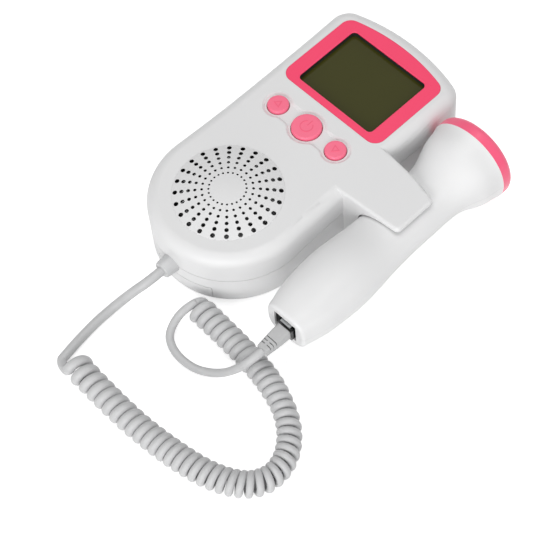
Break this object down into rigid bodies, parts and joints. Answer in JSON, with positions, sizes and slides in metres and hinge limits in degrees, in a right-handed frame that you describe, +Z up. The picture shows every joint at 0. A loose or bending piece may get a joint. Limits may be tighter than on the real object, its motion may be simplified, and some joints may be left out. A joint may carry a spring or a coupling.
{
  "type": "fetal_doppler_monitor",
  "caption": "Hand-held fetal doppler monitor with domed speaker grille, display, three keys, battery door and a docked ultrasound probe on a curly cord",
  "frame": {"origin": "on the base plane directly under the loudspeaker grille axis, on the battery door outer face", "axes": "+Z up out of the face with the keys, +Y from the loudspeaker to the display, +X towards the docked probe"},
  "size_m": [0.131, 0.1995, 0.0383],
  "materials": {
    "case_white": "fine satin moulded ABS, off-white",
    "grille_white": "satin moulded ABS, faintly greyer than the case",
    "pink_gloss": "glossy printed pink bezel",
    "key_pink": "smooth semi-gloss pink plastic",
    "window_clear": "clear polished plastic",
    "window_pale": "smooth pale acoustic facing",
    "lcd_glass": "dark olive reflective liquid crystal panel",
    "white_inner": "white diffusing plastic",
    "cord_grey": "soft semi-matt grey cord jacket",
    "socket_black": "black moulded plastic",
    "speaker_black": "black woven cloth and pressed paper",
    "steel_plate": "zinc plated steel",
    "steel_screw": "nickel plated steel",
    "contact_gold": "gold plated contacts",
    "board_green": "green solder mask",
    "chip_black": "black epoxy",
    "cell_jacket": "printed cell jacket, plain",
    "crystal_ceramic": "silvered piezo ceramic"
  },
  "bodies": {
    "base_unit": {"back_case": "case_white", "battery_left": "cell_jacket", "battery_plates": "steel_screw", "battery_right": "cell_jacket", "battery_springs": "steel_screw", "board_chips": "chip_black", "board_screws": "steel_screw", "case_screws": "steel_screw", "cord_coil": "cord_grey", "cord_gland": "cord_grey", "cord_lead_base": "cord_grey", "cord_lead_probe": "cord_grey", "front_case": "case_white", "grille_mesh": "speaker_black", "headphone_jack": "socket_black", "lcd_backlight": "white_inner", "lcd_bezel": "pink_gloss", "lcd_panel": "lcd_glass", "lcd_window": "window_clear", "main_board": "board_green", "power_switch": "socket_black", "speaker_cone": "speaker_black", "speaker_frame": "steel_plate", "speaker_grille": "grille_white", "speaker_magnet": "steel_plate", "volume_down_switch": "socket_black", "volume_up_switch": "socket_black"},
    "power_button": {"power_button": "key_pink", "power_plunger": "key_pink"},
    "volume_up_button": {"volume_up_button": "key_pink", "volume_up_plunger": "key_pink"},
    "volume_down_button": {"volume_down_button": "key_pink", "volume_down_plunger": "key_pink"},
    "battery_door": {"battery_door": "case_white"},
    "probe": {"probe_upper_shell": "case_white", "probe_lower_shell": "case_white", "probe_cap": "key_pink", "acoustic_window": "window_pale", "crystal_halves": "crystal_ceramic", "crystal_backing": "socket_black", "probe_board": "board_green", "probe_jack": "socket_black", "probe_screws": "steel_screw", "plug_housing": "window_clear", "plug_contacts": "contact_gold", "plug_boot": "cord_grey"}
  },
  "joints": [
    {"name": "power_press", "type": "slide", "parent": "base_unit", "child": "power_button", "axis": [0, 0, -1], "range_m": [0, 0.0006], "stiffness_N_per_m": 1500},
    {"name": "volume_up_press", "type": "slide", "parent": "base_unit", "child": "volume_up_button", "axis": [0, 0, -1], "range_m": [0, 0.0006], "stiffness_N_per_m": 1500},
    {"name": "volume_down_press", "type": "slide", "parent": "base_unit", "child": "volume_down_button", "axis": [0, 0, -1], "range_m": [0, 0.0006], "stiffness_N_per_m": 1500},
    {"name": "battery_door_hinge", "type": "hinge", "parent": "base_unit", "child": "battery_door", "pos_m": [0, 0.0275, 0.0011], "axis": [1, 0, 0], "range_deg": [0, 75]},
    {"name": "probe_slide", "type": "slide", "parent": "base_unit", "child": "probe", "axis": [1, 0, 0], "range_m": [0, 0.03]}
  ]
}
